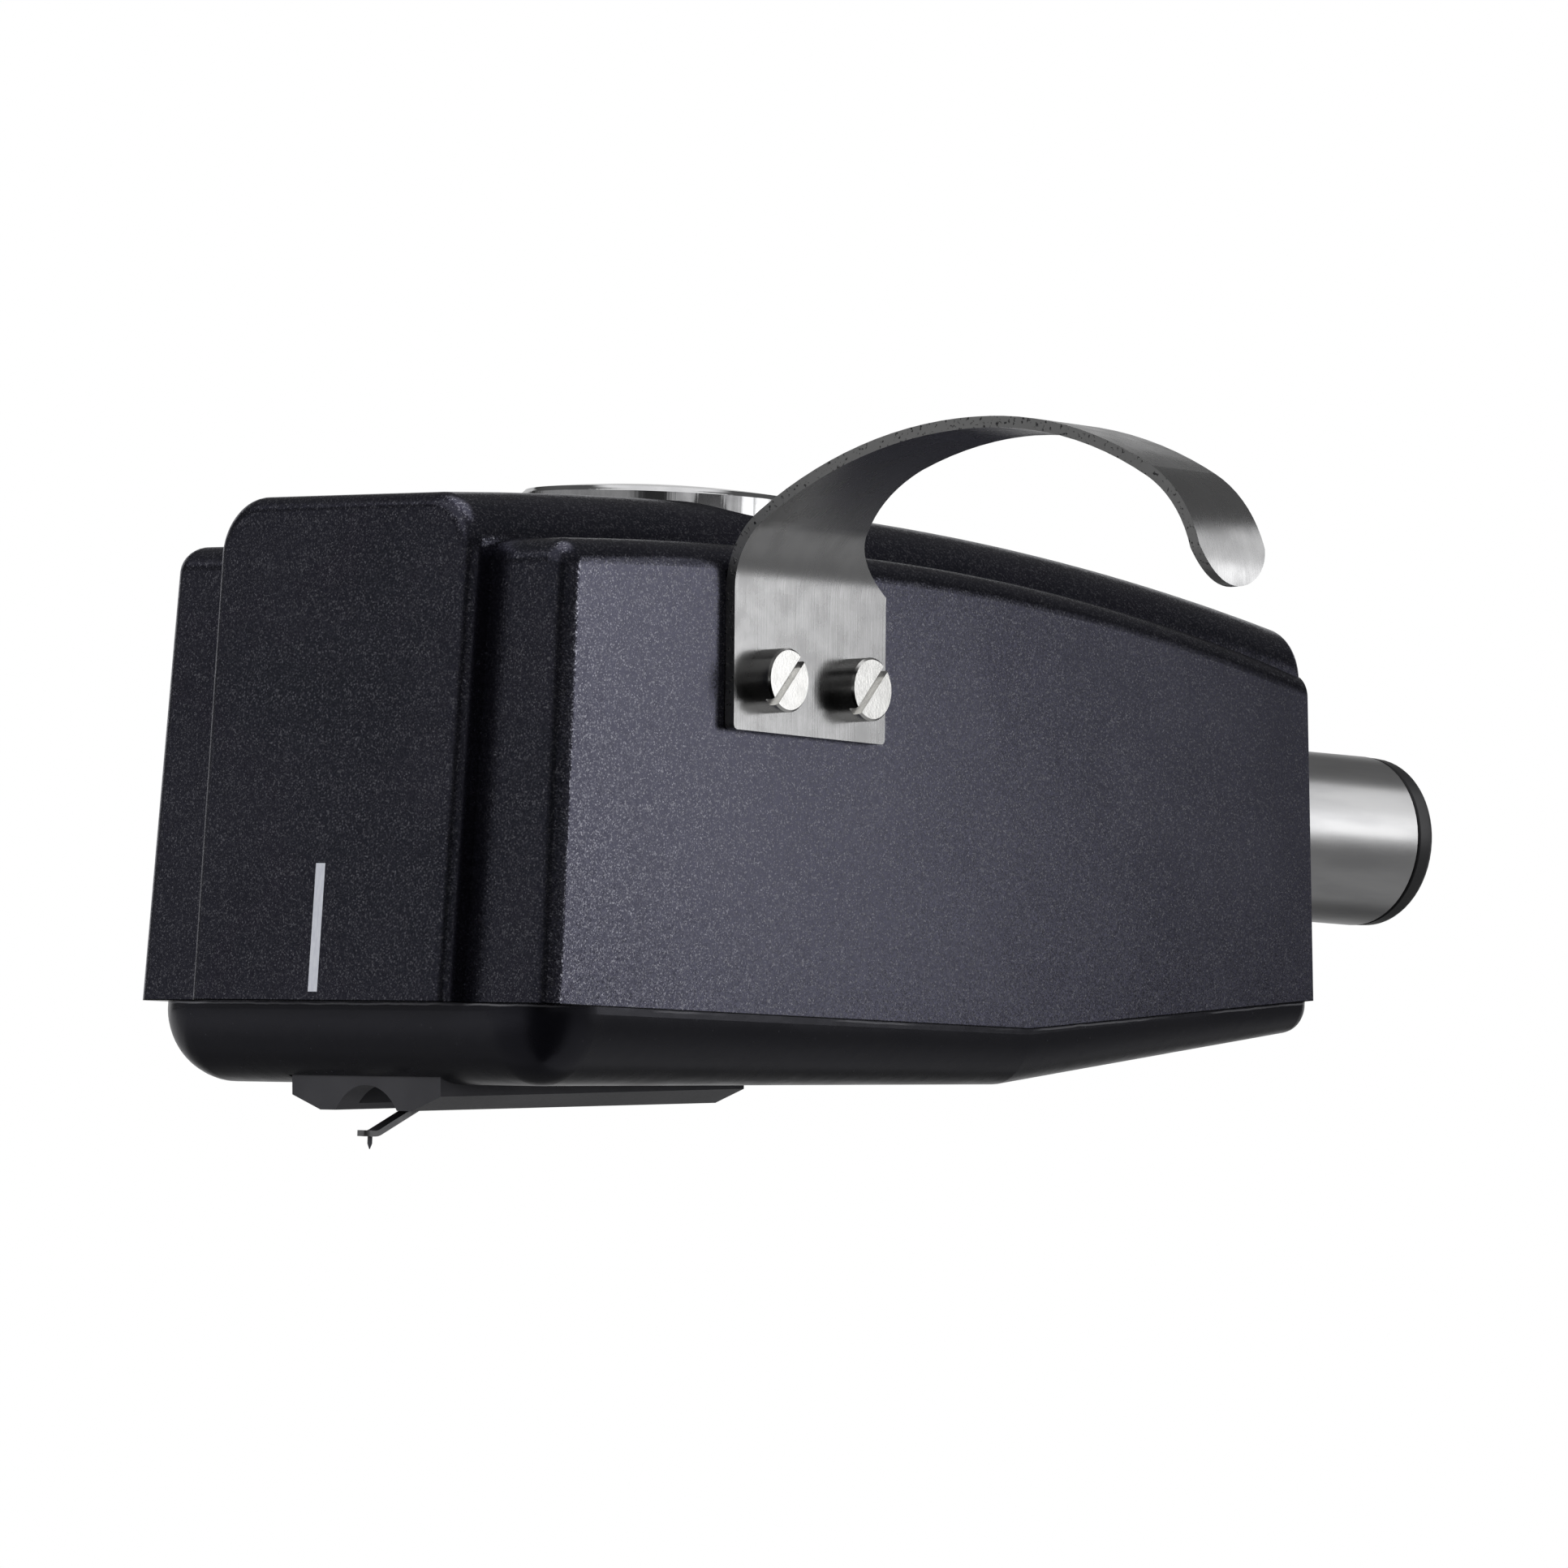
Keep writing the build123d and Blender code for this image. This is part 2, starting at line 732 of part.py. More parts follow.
def make_generator_block():
    half = block_width / 2
    low = half - block_chamfer_width
    outline = Polyline(
        (-low, 0),
        (low, 0),
        (half, block_chamfer_height),
        (half, block_height),
        (-half, block_height),
        (-half, block_chamfer_height),
        close=True,
    )
    end = Plane(origin=(0, 0, 0), x_dir=(0, 1, 0), z_dir=(1, 0, 0))
    body = block_frame() * extrude(end * make_face(outline), block_length)
    cavity_length = block_length - block_front_wall - block_rear_wall
    body -= block_box(block_front_wall, cavity_length, block_cavity_width, block_floor, far_out)
    notch = Pos(0, 0, -notch_drop) * along_x(notch_radius, -cut_past, notch_depth)
    body -= block_frame() * notch
    return body - block_box(slot_start, slot_end - slot_start, slot_width, -cut_past, block_floor + pick_gap)


def make_magnet():
    start = pole_plate_start + pole_plate_thickness
    return block_box(start, yoke_start - start, magnet_width, magnet_bottom, circuit_top)


def make_front_pole_plate():
    return block_box(pole_plate_start, pole_plate_thickness, pole_plate_width, pole_plate_bottom, circuit_top)


def make_rear_yoke():
    body = block_box(yoke_start, yoke_length, yoke_width, yoke_bottom, circuit_top)
    body -= on_arm(core_radius + core_clearance, 0, far_out / 3)
    return body - upright(generator_screw_radius, boss_place, thread_end(), far_out)


def make_pole_core():
    return on_arm(core_radius, core_start, core_end) - on_arm(core_wire_hole_radius, 0, core_end + cut_past)


def make_suspension_grub_screw():
    body = on_arm(core_radius, core_end, core_end + grub_length)
    slot = Box(2 * grub_slot_depth, 4 * core_radius, grub_slot_width)
    return body - arm_frame() * (Pos(core_end + grub_length, 0, 0) * slot)


def make_suspension_wire():
    return on_arm(wire_radius, wire_start, core_end)


def make_wire_ferrule():
    return arm_frame() * Sphere(ferrule_radius)


def make_damper_ring():
    ring = on_arm(damper_radius, damper_start, core_start)
    return ring - on_arm(damper_bore_radius, 0, core_start + cut_past)


def crossed_bar(radius, start, stop, angle):
    # round bar square to the cantilever, turned about its line
    bar = Cylinder(radius, stop - start, align=(Align.CENTER, Align.CENTER, Align.MIN))
    return arm_frame() * (Rot(angle, 0, 0) * (Pos(0, 0, start) * bar))


def make_armature():
    # plus shaped former with four arms at forty five degrees
    body = on_arm(hub_radius, -hub_half_length, hub_half_length)
    for angle in (45, 135, 225, 315):
        body += crossed_bar(armature_arm_radius, 0, armature_arm_length, angle)
    return body - on_arm(hub_bore_radius, -cut_past, cut_past)


def make_coil(angle):
    # one winding on each of two opposite arms
    rings = []
    for turn in (angle, angle + 180):
        ring = crossed_bar(coil_radius, coil_start, coil_end, turn)
        ring -= crossed_bar(armature_arm_radius + coil_clearance, 0, far_out / 30, turn)
        rings.append(ring.solid())
    return Compound(children=rings)


def make_cantilever():
    # flat strip with one bend, carried by a round collar at the armature
    bend_x = -stylus_to_seat + arm_bend_ahead
    level = stylus_tip_height + stylus_length + arm_thickness / 2
    start = arm_frame() * Pos(-collar_end, 0, 0)
    line = Polyline(
        (-stylus_to_seat - arm_end_ahead, level), (bend_x, level), (start.position.X, start.position.Z)
    )
    line = fillet(line.vertices().sort_by(Axis.X)[1:2], arm_bend_round)
    strip = trace(line, arm_thickness)
    body = extrude(Plane.XZ * strip, arm_width / 2, both=True)
    tip_edges = body.faces().sort_by(Axis.X)[0].edges()
    corners = [edge for edge in tip_edges if abs(edge.center().Y) > arm_width / 2 - pick_gap]
    body = fillet(corners, arm_tip_round)
    return body + on_arm(collar_radius, -collar_end - arm_thickness, -hub_half_length)


def make_stylus():
    # round shank with a ground cone
    tip = stylus_tip_height
    outline = Polyline(
        (0, tip),
        (stylus_tip_radius, tip),
        (stylus_radius, tip + stylus_cone),
        (stylus_radius, tip + stylus_length),
        (0, tip + stylus_length),
        close=True,
    )
    return Pos(-stylus_to_seat, 0, 0) * revolve(Plane.XZ * make_face(outline), Axis.Z)


def terminal_places():
    return [(step - 1.5) * terminal_pitch for step in range(4)]


def make_terminal_plate():
    start = block_front_wall + terminal_side_gap
    length = block_length - block_front_wall - block_rear_wall - 2 * terminal_side_gap
    width = block_cavity_width - 2 * terminal_side_gap
    body = block_box(start, length, width, circuit_top, block_height)
    body -= upright(generator_screw_radius, boss_place, block_bottom, far_out)
    for across in terminal_places():
        body -= terminal_bar(across, terminal_low, terminal_high)
    return body


def terminal_bar(across, low, high):
    bar = Cylinder(terminal_radius, high - low, align=(Align.CENTER, Align.CENTER, Align.MIN))
    return block_frame() * (Pos(terminal_row_place, across, low) * bar)


def make_terminal_pins():
    pins = [terminal_bar(across, terminal_low, terminal_high) for across in terminal_places()]
    return Compound(children=[pin.solid() for pin in pins])


def make_lead_wire(index):
    # held lead from a terminal to a contact, leaving one upright and reaching the other level
    across = terminal_places()[index]
    contact = contact_places()[index]
    start = (block_frame() * Pos(terminal_row_place, across, terminal_high)).position
    lift = (block_frame() * Pos(terminal_row_place, across, terminal_high + lead_rise)).position - start
    stop = Vector(tube_root - contact_tail, contact[0], contact[1])
    middle = (start + stop) / 2 + Vector(0, 0, lead_rise)
    ends = (lift.normalized(), Vector(1, 0, 0))
    path = Spline(start, middle, stop, tangents=ends, tangent_scalars=(lead_ease, lead_ease))
    end = Plane(origin=start, z_dir=lift)
    return sweep(end * Circle(lead_radius), path=path)


parts = {
    "shell": make_shell,
    "cue_line": make_cue_line,
    "lower_cover": make_lower_cover,
    "top_disc": make_top_disc,
    "generator_screw": make_generator_screw,
    "finger_lift": make_finger_lift,
    "finger_lift_screws": make_finger_lift_screws,
    "connector_tube": make_connector_tube,
    "locating_pin": make_locating_pin,
    "contact_insulator": make_contact_insulator,
    "contact_pins": make_contact_pins,
    "generator_block": make_generator_block,
    "magnet": make_magnet,
    "front_pole_plate": make_front_pole_plate,
    "rear_yoke": make_rear_yoke,
    "pole_core": make_pole_core,
    "suspension_grub_screw": make_suspension_grub_screw,
    "suspension_wire": make_suspension_wire,
    "wire_ferrule": make_wire_ferrule,
    "damper_ring": make_damper_ring,
    "armature": make_armature,
    "coil_left": lambda: make_coil(45),
    "coil_right": lambda: make_coil(135),
    "cantilever": make_cantilever,
    "stylus": make_stylus,
    "terminal_plate": make_terminal_plate,
    "terminal_pins": make_terminal_pins,
    "lead_wire_red": lambda: make_lead_wire(0),
    "lead_wire_white": lambda: make_lead_wire(1),
    "lead_wire_green": lambda: make_lead_wire(2),
    "lead_wire_blue": lambda: make_lead_wire(3),
}

os.makedirs("parts", exist_ok=True)
for name, make in parts.items():
    export_step(make(), "parts/" + name + ".step")
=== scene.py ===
import json
import math

import bpy
import numpy as np
from mathutils import Matrix, Vector

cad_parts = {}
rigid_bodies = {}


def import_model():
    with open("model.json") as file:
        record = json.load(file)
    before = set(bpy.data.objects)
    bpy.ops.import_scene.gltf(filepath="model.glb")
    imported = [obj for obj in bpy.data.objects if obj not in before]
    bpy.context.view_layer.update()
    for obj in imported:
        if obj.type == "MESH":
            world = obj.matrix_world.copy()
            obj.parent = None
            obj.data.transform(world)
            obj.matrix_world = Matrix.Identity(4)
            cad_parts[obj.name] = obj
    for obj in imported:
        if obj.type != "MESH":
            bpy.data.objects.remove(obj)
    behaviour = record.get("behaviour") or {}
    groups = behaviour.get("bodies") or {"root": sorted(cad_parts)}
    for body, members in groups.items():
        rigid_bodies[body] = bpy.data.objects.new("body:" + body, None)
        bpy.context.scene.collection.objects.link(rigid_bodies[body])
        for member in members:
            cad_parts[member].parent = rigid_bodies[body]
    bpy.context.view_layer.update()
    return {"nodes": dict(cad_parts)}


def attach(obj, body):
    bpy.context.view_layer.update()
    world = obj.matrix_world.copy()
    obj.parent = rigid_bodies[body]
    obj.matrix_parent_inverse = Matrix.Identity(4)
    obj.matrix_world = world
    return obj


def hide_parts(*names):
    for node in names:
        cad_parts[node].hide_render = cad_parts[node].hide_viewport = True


for leftover in list(bpy.data.objects):
    bpy.data.objects.remove(leftover)
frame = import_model()
nodes = frame["nodes"]
scene = bpy.context.scene
scene.view_settings.view_transform = "Standard"
print("frame loaded,", len(nodes), "nodes")


class Wire:
    # wraps one socket, so that shader sums read as plain expressions; each operator adds a Math node
    def __init__(self, tree, socket=None):
        self.tree = tree
        self.socket = socket

    def node(self, kind, settings=None, sockets=None, out=0):
        # any node: its type, then its settings, then the values or links of its sockets
        made = self.tree.nodes.new(kind)
        for name, value in (settings or {}).items():
            setattr(made, name, value)
        for name, value in (sockets or {}).items():
            if isinstance(value, Wire):
                self.tree.links.new(value.socket, made.inputs[name])
            else:
                made.inputs[name].default_value = value
        return Wire(self.tree, made.outputs[out] if len(made.outputs) else None)

    def sums(self, operation, first, second=0.0):
        return self.node("ShaderNodeMath", {"operation": operation}, {0: first, 1: second})

    def __add__(self, other):
        return self.sums("ADD", self, other)

    def __radd__(self, other):
        return self.sums("ADD", other, self)

    def __sub__(self, other):
        return self.sums("SUBTRACT", self, other)

    def __rsub__(self, other):
        return self.sums("SUBTRACT", other, self)

    def __mul__(self, other):
        return self.sums("MULTIPLY", self, other)

    def __rmul__(self, other):
        return self.sums("MULTIPLY", other, self)

    def __truediv__(self, other):
        return self.sums("DIVIDE", self, other)

    def __pow__(self, other):
        return self.sums("POWER", self, other)

    def __abs__(self):
        return self.sums("ABSOLUTE", self)

    def most(self, other):
        return self.sums("MAXIMUM", self, other)

    def least(self, other):
        return self.sums("MINIMUM", self, other)

    def ease(self, low, high):
        # nought below low, one above high, smooth between; low above high turns it round
        span = {"From Min": low, "From Max": high, "Value": self}
        return self.node("ShaderNodeMapRange", {"interpolation_type": "SMOOTHSTEP"}, span)

    def parts(self):
        # the three numbers of a vector
        split = self.node("ShaderNodeSeparateXYZ", {}, {0: self})
        return [Wire(self.tree, one) for one in split.socket.node.outputs]

    def vector(self, operation, other, out=0):
        return self.node("ShaderNodeVectorMath", {"operation": operation}, {0: self, 1: other}, out)

    def scaled(self, size, place=(0, 0, 0)):
        # stretches a pattern along each axis, after moving its centre to a place
        moved = self.vector("SUBTRACT", place)
        return moved.vector("MULTIPLY", size)

    def tint(self, first, second):
        # goes from the first colour to the second as this number goes from nought to one
        kind = {"data_type": "RGBA"}
        return self.node("ShaderNodeMix", kind, {0: self, 6: first, 7: second}, 2)

    def noise(self, scale, detail=2.0, out=0):
        values = {"Vector": self, "Scale": scale, "Detail": detail}
        return self.node("ShaderNodeTexNoise", {}, values, out)

    def cells(self, scale, out="Color"):
        return self.node("ShaderNodeTexVoronoi", {}, {"Vector": self, "Scale": scale}, out)

    def relief(self, height, normal=None):
        # turns a height in metres into a bent normal
        values = {"Height": self, "Distance": height, "Strength": 1.0}
        if normal:
            values["Normal"] = normal
        return self.node("ShaderNodeBump", {}, values)


def startFinish(name):
    # an empty finish and the object coordinates that its patterns read
    finish = bpy.data.materials.new(name)
    finish.use_nodes = True
    finish.node_tree.nodes.clear()
    tree = Wire(finish.node_tree)
    return finish, tree.node("ShaderNodeTexCoord", {}, {}, "Object")


def closeFinish(place, fixed, varying):
    # the shader's fixed values go straight on its sockets, and only the varying ones are linked
    shader = place.node("ShaderNodeBsdfPrincipled", {}, {**fixed, **varying})
    place.node("ShaderNodeOutputMaterial", {}, {"Surface": shader})


def dress(finish, *names):
    for name in names:
        nodes[name].material_slots[0].material = finish


def partingDepth(place):
    # height above the seam of shell and cover: two straight runs that meet at a kink
    x, y, z = place.parts()
    first = (x - seam["noseX"]) * seam["frontSlope"] + seam["noseZ"]
    second = (x - seam["kinkX"]) * seam["rearSlope"] + seam["kinkZ"]
    return z - first.most(second)


seam = {"noseX": -0.0558, "noseZ": -0.011, "kinkX": -0.021, "kinkZ": -0.01042,
        "frontSlope": 0.58 / 34.8, "rearSlope": 2.36 / 21.0}


paint = {"deep": (0.071, 0.071, 0.099, 1), "soft": (0.083, 0.083, 0.114, 1), "flake": (0.46, 0.46, 0.52, 1),
         "seamShade": (0.004, 0.004, 0.005, 1), "flakeSize": 0.00006, "flakeShare": 0.8, "tilt": 0.13, "sharp": 6.0,
         "cloudScale": 150, "peelScale": 2400, "peel": 0.000002, "rough": 0.23, "metal": 0.97, "seamWidth": 0.00007}


def paintShell():
    # satin paint full of fine bright flakes, each one leaning its own way, with a painted shade line along the seam
    finish, place = startFinish("shellPaint")
    flake = place.cells(1 / paint["flakeSize"])
    chance = flake.parts()[0]
    bright = chance ** paint["sharp"]
    cloud = place.noise(paint["cloudScale"], 3).ease(0.3, 0.7)
    peel = place.noise(paint["peelScale"], 2)
    # painted shade: a near-black line along the shell's lower edge at the seam, standing in for the shadow between
    # shell and cover
    edge = partingDepth(place).ease(paint["seamWidth"], paint["seamWidth"] * 0.4)
    colour = cloud.tint(paint["deep"], paint["soft"])
    colour = (bright * paint["flakeShare"]).tint(colour, paint["flake"])
    colour = edge.tint(colour, paint["seamShade"])
    # the flakes lean less where the surface turns away from view
    glance = place.node("ShaderNodeLayerWeight", {}, {"Blend": 0.5}, "Facing")
    swing = paint["tilt"] * (1 - glance ** 2)
    lean = flake.vector("SUBTRACT", (0.5, 0.5, 0.5)).vector("MULTIPLY", swing)
    facing = place.node("ShaderNodeNewGeometry", {}, {}, "Normal")
    facing = facing.vector("ADD", lean).vector("NORMALIZE", (0, 0, 0))
    varying = {"Base Color": colour, "Metallic": paint["metal"] + bright * 0.03,
               "Roughness": paint["rough"] + (peel - 0.5) * 0.1 + cloud * 0.04,
               "Normal": peel.relief(paint["peel"], facing)}
    closeFinish(place, {"Specular IOR Level": 0.5}, varying)
    dress(finish, "shell")


line = {"white": (0.86, 0.88, 0.95, 1), "worn": (0.76, 0.78, 0.87, 1), "wipeScale": 9000, "rough": 0.42}


def paintCueLine():
    # thick white paint wiped into a groove, a little uneven
    finish, place = startFinish("cueLinePaint")
    wipe = place.scaled((1, 1, 0.25)).noise(line["wipeScale"], 3)
    varying = {"Base Color": wipe.ease(0.3, 0.7).tint(line["worn"], line["white"]),
               "Roughness": line["rough"] + wipe * 0.2, "Normal": wipe.relief(0.000004)}
    closeFinish(place, {"Specular IOR Level": 0.4}, varying)
    dress(finish, "cue_line")


cover = {"black": (0.004, 0.004, 0.006, 1), "dust": (0.05, 0.05, 0.058, 1), "bead": (0.16, 0.16, 0.17, 1),
         "rough": 0.24, "beadLow": -0.00013, "beadHigh": -0.00005, "wander": 0.00012, "peel": 0.000012,
         "smearScale": 260, "peelScale": 900, "speckScale": 1600, "wanderScale": 700, "patchScale": 160,
         "gloss": 0.62, "glossTint": (0.84, 0.84, 1, 1)}


def polishCover():
    # glossy moulded black with faint orange peel, and a pale bead along the seam; the dark line above it is painted
    # shade on the shell
    finish, place = startFinish("coverGloss")
    smear = place.scaled((1, 1, 2.5)).noise(cover["smearScale"], 3).ease(0.35, 0.7)
    peel = place.noise(cover["peelScale"], 2)
    specks = place.cells(cover["speckScale"], "Distance").ease(0.09, 0.03)
    wander = (place.noise(cover["wanderScale"], 3) - 0.5) * cover["wander"]
    depth = partingDepth(place) + wander
    bead = depth.ease(cover["beadLow"], cover["beadLow"] * 0.8)
    bead = bead * depth.ease(cover["beadHigh"] * 0.5, cover["beadHigh"])
    patchy = place.noise(cover["patchScale"], 2).ease(0.42, 0.55)
    colour = (specks * 0.6).tint(cover["black"], cover["dust"])
    colour = (bead * patchy).tint(colour, cover["bead"])
    varying = {"Base Color": colour, "Roughness": cover["rough"] + smear * 0.06 + specks * 0.2,
               "Normal": peel.relief(cover["peel"])}
    closeFinish(place, {"Specular IOR Level": cover["gloss"], "Specular Tint": cover["glossTint"]}, varying)
    dress(finish, "lower_cover")


chrome = {"bright": (0.74, 0.74, 0.75, 1), "dull": (0.62, 0.62, 0.635, 1), "middle": (-0.036, 0, 0),
          "radius": 0.00635, "rough": 0.05, "markScale": 5200, "waveScale": 900, "mistScale": 800,
          "ringTurns": 70000, "relief": 0.000018}


def polishDisc():
    # plated disc: upright marks round the rim, fine turned rings on the dome
    finish, place = startFinish("discChrome")
    x, y, z = place.scaled((1, 1, 1), chrome["middle"]).parts()
    radius = (x * x + y * y) ** 0.5
    rim = radius.ease(chrome["radius"] - 0.00012, chrome["radius"] - 0.00004)
    upright = place.scaled((1, 1, 0.012), chrome["middle"])
    marks = upright.noise(chrome["markScale"], 3)
    waves = upright.noise(chrome["waveScale"], 2)
    rings = place.sums("SINE", radius * chrome["ringTurns"])
    mist = place.noise(chrome["mistScale"], 3)
    height = rim * (marks * 0.35 + waves) + (1 - rim) * rings * 0.02
    varying = {"Base Color": mist.ease(0.3, 0.75).tint(chrome["bright"], chrome["dull"]),
               "Roughness": chrome["rough"] + mist * 0.05 + rim * marks * 0.06,
               "Normal": height.relief(chrome["relief"])}
    closeFinish(place, {"Metallic": 1.0}, varying)
    dress(finish, "top_disc")


strap = {"steel": (0.56, 0.56, 0.565, 1), "shade": (0.48, 0.48, 0.485, 1), "edge": (0.62, 0.62, 0.62, 1),
         "pit": (0.12, 0.12, 0.125, 1), "rough": 0.20, "relief": 0.000003,
         "rubScale": 11000, "blotchScale": 700, "pitScale": 6500}


def brushLift():
    # satin spring steel, rubbed along the strap, with sheared and slightly pitted edges whose side faces are painted
    # lighter, partly for their bright burr and partly as a painted highlight
    finish, place = startFinish("liftSteel")
    rub = place.scaled((1, 0.03, 0.03)).noise(strap["rubScale"], 3)
    blotch = place.noise(strap["blotchScale"], 4).ease(0.3, 0.72)
    facing = place.node("ShaderNodeTexCoord", {}, {}, "Normal").parts()[0]
    side = abs(facing).ease(0.55, 0.8)
    pits = place.noise(strap["pitScale"], 3).ease(0.58, 0.68)
    colour = blotch.tint(strap["steel"], strap["shade"])
    # partly painted highlight: the side faces turn lighter, both for the sheared burr and as an edge highlight
    colour = side.tint(colour, strap["edge"])
    colour = (side * pits).tint(colour, strap["pit"])
    dullness = strap["rough"] + rub * 0.08 + blotch * 0.05 + side * 0.12
    varying = {"Base Color": colour, "Roughness": dullness,
               "Normal": (rub + side * pits * 4).relief(strap["relief"])}
    closeFinish(place, {"Metallic": 1.0}, varying)
    dress(finish, "finger_lift")


screw = {"nickel": (0.90, 0.895, 0.88, 1), "dull": (0.80, 0.795, 0.78, 1), "rough": 0.17, "relief": 0.000003,
         "toolScale": 9000, "mistScale": 1500}


def plateScrews():
    # nickel plate over a faced head, with faint straight tool marks
    finish, place = startFinish("screwNickel")
    tool = place.scaled((1, 0.05, 1)).noise(screw["toolScale"], 2)
    mist = place.noise(screw["mistScale"], 3)
    varying = {"Base Color": mist.ease(0.35, 0.75).tint(screw["nickel"], screw["dull"]),
               "Roughness": screw["rough"] + tool * 0.08, "Normal": tool.relief(screw["relief"])}
    closeFinish(place, {"Metallic": 1.0}, varying)
    dress(finish, "finger_lift_screws", "generator_screw", "locating_pin")


tube = {"metal": (0.64, 0.64, 0.645, 1), "worn": (0.54, 0.54, 0.55, 1), "rough": 0.24, "ringScale": 16000,
        "wornScale": 900, "relief": 0.000004}


def turnTube():
    # turned plug: fine rings round the axis, softly worn in streaks along it
    finish, place = startFinish("tubeMetal")
    rings = place.scaled((1, 0.002, 0.002)).noise(tube["ringScale"], 2)
    worn = place.scaled((0.2, 1, 1)).noise(tube["wornScale"], 3)
    varying = {"Base Color": worn.ease(0.35, 0.75).tint(tube["metal"], tube["worn"]),
               "Roughness": tube["rough"] + rings * 0.1 + worn * 0.05, "Normal": rings.relief(tube["relief"])}
    closeFinish(place, {"Metallic": 1.0}, varying)
    dress(finish, "connector_tube")


block = {"black": (0.045, 0.045, 0.050, 1), "grey": (0.062, 0.062, 0.068, 1), "rough": 0.34, "grainScale": 7000,
         "cloudScale": 300, "relief": 0.000003, "gloss": 0.75, "glossTint": (0.92, 0.92, 1, 1)}


def blastBlock():
    # satin moulded block with a fine even grain
    finish, place = startFinish("blockSatin")
    grain = place.noise(block["grainScale"], 2)
    cloud = place.noise(block["cloudScale"], 2)
    varying = {"Base Color": cloud.ease(0.3, 0.7).tint(block["black"], block["grey"]),
               "Roughness": block["rough"] + grain * 0.1, "Normal": grain.relief(block["relief"])}
    closeFinish(place, {"Specular IOR Level": block["gloss"], "Specular Tint": block["glossTint"]}, varying)
    dress(finish, "generator_block")


# hidden and small metals: bright and dull colour, roughness, pattern size, relief, nodes
metals = {
    "contactGold": ((0.80, 0.56, 0.20, 1), (0.66, 0.44, 0.15, 1), 0.2, 3000, 0.000002, "contact_pins terminal_pins"),
    "magnetGrey": ((0.20, 0.20, 0.21, 1), (0.12, 0.12, 0.13, 1), 0.42, 5200, 0.000006, "magnet"),
    "poleIron": ((0.33, 0.32, 0.31, 1), (0.22, 0.21, 0.20, 1), 0.38, 2600, 0.000005,
                 "front_pole_plate rear_yoke pole_core suspension_grub_screw"),
    "wireSteel": ((0.62, 0.62, 0.63, 1), (0.48, 0.48, 0.50, 1), 0.22, 9000, 0.000001, "suspension_wire"),
    "ferruleBrass": ((0.70, 0.52, 0.24, 1), (0.55, 0.39, 0.16, 1), 0.28, 6000, 0.000002, "wire_ferrule"),
    "armAlloy": ((0.55, 0.55, 0.56, 1), (0.40, 0.40, 0.42, 1), 0.3, 5200, 0.000003, "cantilever"),
}


def finishMetals():
    # bare metal: a cloudy tone with fine grain in gloss and relief
    for name, (bright, dull, rough, scale, relief, wearers) in metals.items():
        finish, place = startFinish(name)
        grain = place.noise(scale, 3)
        cloud = place.noise(scale / 6, 2).ease(0.3, 0.7)
        varying = {"Base Color": (cloud * 0.7 + grain * 0.3).tint(bright, dull),
                   "Roughness": rough + grain * 0.12, "Normal": grain.relief(relief)}
        closeFinish(place, {"Metallic": 1.0}, varying)
        dress(finish, *wearers.split())


# plastics and rubber: two tones, roughness, pattern size, relief, gloss, nodes
plastics = {
    "insulatorBlack": ((0.016, 0.016, 0.018, 1), (0.028, 0.028, 0.03, 1), 0.36, 2800, 0.000004, 0.5,
                       "contact_insulator"),
    "damperRubber": ((0.030, 0.027, 0.025, 1), (0.055, 0.05, 0.046, 1), 0.62, 5000, 0.000008, 0.3, "damper_ring"),
    "armatureBlack": ((0.03, 0.03, 0.032, 1), (0.05, 0.05, 0.053, 1), 0.4, 7000, 0.000003, 0.5, "armature"),
    "terminalBoard": ((0.16, 0.085, 0.04, 1), (0.10, 0.05, 0.024, 1), 0.5, 1800, 0.000008, 0.4, "terminal_plate"),
    "leadRed": ((0.55, 0.035, 0.03, 1), (0.44, 0.026, 0.022, 1), 0.4, 2500, 0.000004, 0.5, "lead_wire_red"),
    "leadWhite": ((0.76, 0.75, 0.72, 1), (0.66, 0.65, 0.61, 1), 0.4, 2500, 0.000004, 0.5, "lead_wire_white"),
    "leadGreen": ((0.04, 0.30, 0.08, 1), (0.03, 0.23, 0.06, 1), 0.4, 2500, 0.000004, 0.5, "lead_wire_green"),
    "leadBlue": ((0.03, 0.10, 0.46, 1), (0.022, 0.075, 0.36, 1), 0.4, 2500, 0.000004, 0.5, "lead_wire_blue"),
    "stylusDiamond": ((0.10, 0.10, 0.11, 1), (0.06, 0.06, 0.07, 1), 0.06, 9000, 0.0000004, 1.0, "stylus"),
}


def finishPlastics():
    # moulded or drawn: a mottled tone, with the grain in gloss and relief
    for name, (first, second, rough, scale, relief, gloss, wearers) in plastics.items():
        finish, place = startFinish(name)
        grain = place.noise(scale, 3)
        cloud = place.noise(scale / 8, 2).ease(0.3, 0.7)
        varying = {"Base Color": (cloud * 0.6 + grain * 0.4).tint(first, second),
                   "Roughness": rough + grain * 0.12, "Normal": grain.relief(relief)}
        closeFinish(place, {"Specular IOR Level": gloss}, varying)
        dress(finish, *wearers.split())


winding = {"pivot": (-0.04446, 0, -0.012775), "slope": 27.7, "inner": 0.00019, "outer": 0.00042,
           "start": 0.00072, "end": 0.00125, "turns": 9, "around": 40, "alongTurn": 8,
           "copper": (0.72, 0.30, 0.14, 1), "lacquer": (0.52, 0.19, 0.08, 1)}


